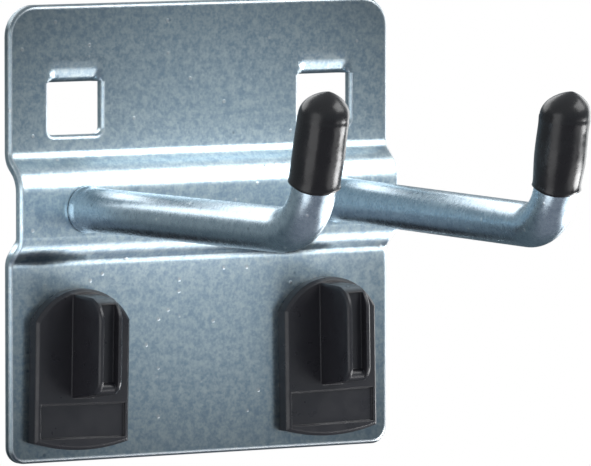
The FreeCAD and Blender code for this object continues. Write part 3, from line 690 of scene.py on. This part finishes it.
# %% The form of a cap
CAP_SHOULDER, CAP_BELLY, BELLY_SHARE = 3.22 * MM, 3.32 * MM, 0.95
CAP_LIP, CAP_LIP_HEIGHT = 0.10 * MM, 0.35 * MM
CAP_SWELL, CAP_SWELL_HEIGHT = 0.05 * MM, 0.7 * MM
DOME_POWER, DOME_ROUNDNESS, LEAN_POWER = 2.6, 0.80, 1.5
SADDLE, SADDLE_HEIGHT = 0.28 * MM, 1.5 * MM
RUFFLE, RUFFLE_HEIGHT, RUFFLE_RATE = 0.05 * MM, 0.4 * MM, 4
WOBBLE, WOBBLE_SIZE = 0.035 * MM, 3.0 * MM
PICTURE_RIGHT = Vector((math.cos(AZIMUTH), math.sin(AZIMUTH), 0))
CAPS = {
    "left": dict(length=12.3, dome=3.4, mouth=3.25, sway=0.25),
    "right": dict(length=12.85, dome=3.5, mouth=3.05, sway=0.55),
}


def cap_radius(cap, height):
    """Outer radius at a height above the mouth."""
    length, start = cap["length"] * MM, (cap["length"] - cap["dome"]) * MM
    if height >= start:
        t = min((height - start) / (length - start), 1.0)
        return CAP_SHOULDER * (1 - t ** DOME_POWER) ** DOME_ROUNDNESS
    t = height / start
    straight = cap["mouth"] * MM * (1 - t) + CAP_SHOULDER * t
    belly = (CAP_BELLY - straight) * math.sin(math.pi * t * BELLY_SHARE) ** 2
    lip = CAP_LIP * math.exp(-(height / CAP_LIP_HEIGHT) ** 2)
    swell = CAP_SWELL * math.exp(-((height - start) / CAP_SWELL_HEIGHT) ** 2)
    return straight + belly + lip + swell


def cap_shape(cap):
    """How one cap departs from a turned form."""
    start, length = (cap["length"] - cap["dome"]) * MM, cap["length"] * MM
    towards = math.atan2(towards_camera.y, towards_camera.x)

    def shape(point):
        radius = math.hypot(point.x, point.y)
        angle = math.atan2(point.y, point.x)
        saddle = math.cos(2 * (angle - towards)) * math.exp(-point.z / SADDLE_HEIGHT)
        turn = Vector((RUFFLE_RATE * math.cos(angle), RUFFLE_RATE * math.sin(angle), 1))
        ruffle = noise.noise(turn) * math.exp(-point.z / RUFFLE_HEIGHT)
        over = max(point.z - start, 0.0) / (length - start)
        wobble = WOBBLE * noise.noise(point / WOBBLE_SIZE)
        moved = point * 1.0
        if radius > 0:
            moved.x *= 1 + wobble / radius
            moved.y *= 1 + wobble / radius
        moved += PICTURE_RIGHT * cap["sway"] * MM * over ** LEAN_POWER
        moved.z += RUFFLE * ruffle - SADDLE * saddle
        return moved
    return shape


# %% Turn the caps
CAP_BORE, CAP_BORE_DEPTH = 2.905 * MM, 9.3 * MM
BORE_MIDDLE, BORE_CHAMFER, LIP_CHAMFER = 0.02, 0.06 * MM, 0.08 * MM
OUTSIDE_STEPS, CROWDING, CAP_SEGMENTS = 56, 1.6, 88
FIRST_HEIGHT, TOP_SHARE = 0.06 * MM, 0.9995

for name, cap in CAPS.items():
    hand = HANDED[name]
    corner, up = rod_end(hand)
    seat = Matrix.Translation(corner + up * hand["rise"] * MM)
    tilt = Matrix.Rotation(math.radians(hand["lean"]), 4, "X")
    length = cap["length"] * MM
    outside = [length * (1 - (1 - i / OUTSIDE_STEPS) ** CROWDING) for i in range(OUTSIDE_STEPS)]
    outside = [max(h, FIRST_HEIGHT) for h in outside] + [length * TOP_SHARE]
    rings = [(CAP_BORE * BORE_MIDDLE, CAP_BORE_DEPTH), (CAP_BORE, CAP_BORE_DEPTH),
             (CAP_BORE, LIP_CHAMFER), (CAP_BORE + BORE_CHAMFER, 0.0),
             (cap_radius(cap, 0.0) - LIP_CHAMFER, 0.0)]
    rings += [(cap_radius(cap, h), h) for h in outside]
    turned = lathe(rings, CAP_SEGMENTS, rod_frame(hand) @ seat @ tilt, cap_shape(cap))
    piece_from(turned, "cap_" + name, cap_vinyl, "end_cap_" + name)
    print("cap", name, len(rings), "rings")

# %% [markdown]
# ## The bends above the windows
#
# Where a claw is bent back, the press drags the sheet with it, and the upper corners of
# the window close up in a soft dish. A thin skin of the same metal gives each bend that
# form: it rolls over a crest, runs down a ramp and turns under at the lip. It lies just
# proud of the sheet, and its finish leaves its own edges plain, so that it can't be told
# from the sheet round it.

# %% The form of a skin
SHEET_FRONT, SKIN_PROUD, SKIN_THICKNESS = -1.25 * MM, 0.012 * MM, 0.3 * MM
SKIN_HALF_WIDTH, DISH_FLAT, DISH_END, SKIN_COLUMNS = 5.2 * MM, 3.0 * MM, 4.3 * MM, 52
SKIN_TOP, DISH_TOP, SKIN_FOOT = 4.6 * MM, 2.9 * MM, 0.72 * MM
SKIN_ROWS, SKIN_CROWDING = 24, 1.5
CREST_LEVEL, CREST_RADIUS, RAMP_ANGLE = 2.7 * MM, 2.0 * MM, math.radians(22.0)
LIP_STARTS, LIP_ENDS, LIP_DEPTH = 1.5 * MM, 0.71 * MM, 1.0 * MM


def dish_depth(level):
    """How far the middle of the dish lies behind the front of the sheet at a level."""
    fallen = max(CREST_LEVEL - level, 0.0)
    rolled = min(fallen, CREST_RADIUS * math.sin(RAMP_ANGLE))
    crest = CREST_RADIUS - math.sqrt(CREST_RADIUS ** 2 - rolled ** 2)
    ramp = (fallen - rolled) * math.tan(RAMP_ANGLE)
    t = min(max((LIP_STARTS - level) / (LIP_STARTS - LIP_ENDS), 0.0), 1.0)
    return crest + ramp + LIP_DEPTH * (1 - math.sqrt(1 - t * t))


def skin_levels():
    """The heights of a skin's rows, closer together towards its foot."""
    shares = [(1 - i / SKIN_ROWS) ** SKIN_CROWDING for i in range(SKIN_ROWS + 1)]
    return [SKIN_TOP] + [SKIN_FOOT + (DISH_TOP - SKIN_FOOT) * share for share in shares]


def skin_row(skin, middle, level, behind):
    """One level of a skin: dished round the middle and flush with the sheet outside."""
    row = []
    for i in range(SKIN_COLUMNS + 1):
        across = (2 * i / SKIN_COLUMNS - 1) * SKIN_HALF_WIDTH
        t = min(max((abs(across) - DISH_FLAT) / (DISH_END - DISH_FLAT), 0.0), 1.0)
        share = 1 - t * t * (3 - 2 * t)
        y = SHEET_FRONT - SKIN_PROUD + dish_depth(level) * share + behind
        row.append(skin.verts.new((across + middle, y, level)))
    return row


def skin_face(skin, middle, behind):
    """The front or the back of a skin as smooth quads."""
    grid = [skin_row(skin, middle, level, behind) for level in skin_levels()]
    for upper, lower in zip(grid, grid[1:]):
        for i in range(SKIN_COLUMNS):
            quad = skin.faces.new((upper[i], lower[i], lower[i + 1], upper[i + 1]))
            quad.smooth = True
    return grid


def borders(grid):
    """The four edges of a grid of points."""
    return grid[0], grid[-1], [row[0] for row in grid], [row[-1] for row in grid]


# %% Lay the skins over the bends
for name, hand in HANDED.items():
    skin = bmesh.new()
    front, back = (skin_face(skin, hand["side"] * HALF_PITCH, behind)
                   for behind in (0.0, SKIN_THICKNESS))
    for near, far in zip(borders(front), borders(back)):
        for i in range(len(near) - 1):
            wall = skin.faces.new((near[i], near[i + 1], far[i + 1], far[i]))
            for edge in wall.edges:
                edge.smooth = False
    bmesh.ops.recalc_face_normals(skin, faces=skin.faces)
    print("skin", name, len(skin.faces), "faces")
    piece_from(skin, "claw_bend_" + name, zinc_bend)

# %% [markdown]
# ## The sheet and the clips
#
# These carry their form already, down to the chamfers that catch the light, so they keep
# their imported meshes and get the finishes.

# %% Put the finishes on
finishes = {"back_plate": zinc_sheet, "hook_rod_left": zinc_rod, "hook_rod_right": zinc_rod,
            "end_cap_left": cap_vinyl, "end_cap_right": cap_vinyl,
            "locking_clip_left": clip_plastic, "locking_clip_right": clip_plastic}
for name, finish in finishes.items():
    nodes[name].data.materials.clear()
    nodes[name].data.materials.append(finish)
print("finished nodes:", len(finishes))
